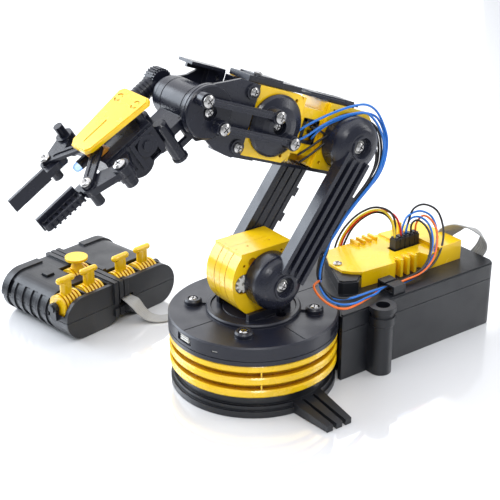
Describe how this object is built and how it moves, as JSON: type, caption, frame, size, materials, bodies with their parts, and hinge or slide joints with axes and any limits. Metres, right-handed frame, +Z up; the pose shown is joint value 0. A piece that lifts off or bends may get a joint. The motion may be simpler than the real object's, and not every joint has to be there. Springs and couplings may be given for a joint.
{
  "type": "robot arm",
  "caption": "Desktop motor-driven robot arm with a ringed turntable base, battery box, linked wrist, two-finger gripper and a wired lever handset.",
  "frame": {"origin": "on the floor, on the turntable's axis, at the middle of the base plate's underside", "axes": "+Z up; the gripper points to -X and the battery box lies towards +X; the side post is on the -Y side"},
  "size_m": [0.3289, 0.2715, 0.2097],
  "materials": {
    "black_plastic": "satin moulded",
    "cap_plastic": "satin moulded",
    "arm_plastic": "satin moulded",
    "hand_plastic": "semi-gloss moulded",
    "yellow_plastic": "glossy moulded",
    "lever_yellow": "glossy moulded",
    "gear_plastic": "natural",
    "screw_steel": "plated",
    "motor_steel": "plain",
    "cell_jacket": "plain wrapped",
    "contact_steel": "nickel plated",
    "board_green": "soldered",
    "wire_blue": "PVC sleeve",
    "ribbon_grey": "PVC ribbon",
    "slider_brass": "turned",
    "lamp_glow": "clear, lit"
  },
  "bodies": {
    "base": {"base_plate": "black_plastic", "base_rings": "yellow_plastic", "base_cap": "cap_plastic", "base_screws": "screw_steel", "base_motor": "motor_steel", "battery_box": "black_plastic", "battery_lid": "black_plastic", "battery_cells": "cell_jacket", "battery_springs": "contact_steel", "side_post": "black_plastic", "circuit_board": "board_green", "board_cover": "yellow_plastic", "motor_plugs": "black_plastic", "wire_clip": "black_plastic", "plug_wires": "wire_blue", "handset_lower": "black_plastic", "handset_upper": "black_plastic", "handset_board": "board_green", "handset_ribbon": "ribbon_grey"},
    "base_pinion": {"base_pinion": "gear_plastic"},
    "turntable": {"turntable": "cap_plastic", "shoulder_case_near": "yellow_plastic", "shoulder_case_far": "yellow_plastic", "shoulder_motor": "motor_steel"},
    "shoulder_pinion": {"shoulder_pinion": "gear_plastic"},
    "upper_arm": {"rail_near": "arm_plastic", "rail_far": "arm_plastic", "arm_axles": "gear_plastic", "arm_screws": "screw_steel", "arm_wires": "wire_blue"},
    "forearm": {"elbow_case_near": "yellow_plastic", "elbow_case_far": "yellow_plastic", "wrist_case_near": "yellow_plastic", "wrist_case_far": "yellow_plastic", "motor_housing": "yellow_plastic", "forearm_motors": "motor_steel", "forearm_plates": "arm_plastic", "cover_near": "arm_plastic", "cover_far": "arm_plastic", "forearm_screws": "screw_steel"},
    "crank": {"crank": "arm_plastic", "crank_screws": "screw_steel"},
    "rod_upper": {"rod_upper": "arm_plastic"},
    "rod_lower": {"rod_lower": "arm_plastic"},
    "hand": {"wrist_barrel": "hand_plastic", "palm": "hand_plastic", "hand_cover": "yellow_plastic", "led_lamp": "lamp_glow", "hand_screws": "screw_steel"},
    "finger_near": {"finger_near": "hand_plastic"},
    "finger_far": {"finger_far": "hand_plastic"},
    "grip_slider": {"grip_slider": "slider_brass"},
    "link_near": {"link_near": "hand_plastic"},
    "link_far": {"link_far": "hand_plastic"},
    "lever_base": {"lever_base": "lever_yellow"},
    "lever_shoulder": {"lever_shoulder": "lever_yellow"},
    "lever_elbow": {"lever_elbow": "lever_yellow"},
    "lever_wrist": {"lever_wrist": "lever_yellow"},
    "lever_grip": {"lever_grip": "lever_yellow"},
    "led_button": {"led_button": "black_plastic"}
  },
  "joints": [
    {"name": "turntable_turn", "type": "hinge", "parent": "base", "child": "turntable", "pos_m": [0, 0, 0.03], "axis": [0, 0, 1], "range_deg": [-135, 135]},
    {"name": "base_pinion_spin", "type": "hinge", "parent": "base", "child": "base_pinion", "pos_m": [-0.025, 0, 0.02], "axis": [0, 0, 1], "range_deg": [-545, 545]},
    {"name": "shoulder_lean", "type": "hinge", "parent": "turntable", "child": "upper_arm", "pos_m": [0, 0, 0.074], "axis": [0, 1, 0], "range_deg": [-100, 25]},
    {"name": "shoulder_pinion_spin", "type": "hinge", "parent": "turntable", "child": "shoulder_pinion", "pos_m": [-0.017, -0.01, 0.074], "axis": [0, 1, 0], "range_deg": [-70, 250]},
    {"name": "elbow_bend", "type": "hinge", "parent": "upper_arm", "child": "forearm", "pos_m": [0.05695, 0, 0.14903], "axis": [0, -1, 0], "range_deg": [-165, 30]},
    {"name": "wrist_tilt", "type": "hinge", "parent": "forearm", "child": "hand", "pos_m": [-0.04401, 0, 0.18738], "axis": [0, 1, 0], "range_deg": [-7, 100]},
    {"name": "crank_turn", "type": "hinge", "parent": "forearm", "child": "crank", "pos_m": [0.0046, -0.014, 0.16892], "axis": [0, 1, 0], "range_deg": [-8, 101]},
    {"name": "rod_upper_swing", "type": "hinge", "parent": "crank", "child": "rod_upper", "pos_m": [-0.0006, -0.023, 0.17786], "axis": [0, 1, 0], "range_deg": [-101, 8]},
    {"name": "rod_lower_swing", "type": "hinge", "parent": "crank", "child": "rod_lower", "pos_m": [0.00981, -0.023, 0.15997], "axis": [0, 1, 0], "range_deg": [-101, 8]},
    {"name": "finger_near_close", "type": "hinge", "parent": "hand", "child": "finger_near", "pos_m": [-0.10485, -0.03, 0.17059], "axis": [0.5299, 0, -0.848], "range_deg": [-9, 18]},
    {"name": "finger_far_close", "type": "hinge", "parent": "hand", "child": "finger_far", "pos_m": [-0.10485, 0.03, 0.17059], "axis": [-0.5299, 0, 0.848], "range_deg": [-10, 19]},
    {"name": "slider_travel", "type": "slide", "parent": "hand", "child": "grip_slider", "axis": [-0.848, 0, -0.5299], "range_m": [-0.0078, 0.0042]},
    {"name": "link_near_swing", "type": "hinge", "parent": "finger_near", "child": "link_near", "pos_m": [-0.12232, -0.0226, 0.16439], "axis": [0.5299, 0, -0.848], "range_deg": [-3, 2]},
    {"name": "link_far_swing", "type": "hinge", "parent": "finger_far", "child": "link_far", "pos_m": [-0.12232, 0.0226, 0.16439], "axis": [-0.5299, 0, 0.848], "range_deg": [-3, 2]},
    {"name": "lever_base_rock", "type": "hinge", "parent": "base", "child": "lever_base", "pos_m": [-0.06859, 0.11753, 0.0235], "axis": [0.9816, 0.1908, 0], "range_deg": [-14, 14], "stiffness_Nm_per_rad": 0.03},
    {"name": "lever_shoulder_rock", "type": "hinge", "parent": "base", "child": "lever_shoulder", "pos_m": [-0.04896, 0.12134, 0.0235], "axis": [0.9816, 0.1908, 0], "range_deg": [-14, 14], "stiffness_Nm_per_rad": 0.03},
    {"name": "lever_elbow_rock", "type": "hinge", "parent": "base", "child": "lever_elbow", "pos_m": [-0.02098, 0.12678, 0.0235], "axis": [0.9816, 0.1908, 0], "range_deg": [-14, 14], "stiffness_Nm_per_rad": 0.03},
    {"name": "lever_wrist_rock", "type": "hinge", "parent": "base", "child": "lever_wrist", "pos_m": [-0.00135, 0.1306, 0.0235], "axis": [0.9816, 0.1908, 0], "range_deg": [-14, 14], "stiffness_Nm_per_rad": 0.03},
    {"name": "lever_grip_rock", "type": "hinge", "parent": "base", "child": "lever_grip", "pos_m": [-0.04312, 0.14897, 0.0235], "axis": [0.9816, 0.1908, 0], "range_deg": [-14, 14], "stiffness_Nm_per_rad": 0.03},
    {"name": "led_button_press", "type": "slide", "parent": "base", "child": "led_button", "axis": [0, 0, -1], "range_m": [0, 0.0012], "stiffness_N_per_m": 300}
  ],
  "couplings": [
    {"joint": "base_pinion_spin", "follows": "turntable_turn", "ratio": -4},
    {"joint": "shoulder_pinion_spin", "follows": "shoulder_lean", "ratio": -2.4},
    {"joint": "crank_turn", "follows": "wrist_tilt", "ratio": 1},
    {"joint": "rod_upper_swing", "follows": "wrist_tilt", "ratio": -1},
    {"joint": "rod_lower_swing", "follows": "wrist_tilt", "ratio": -1},
    {"joint": "finger_far_close", "follows": "finger_near_close", "ratio": 1},
    {"joint": "slider_travel", "follows": "finger_near_close", "m_per_rad": -0.0235},
    {"joint": "link_near_swing", "follows": "finger_near_close", "ratio": -0.13},
    {"joint": "link_far_swing", "follows": "finger_near_close", "ratio": -0.13}
  ]
}
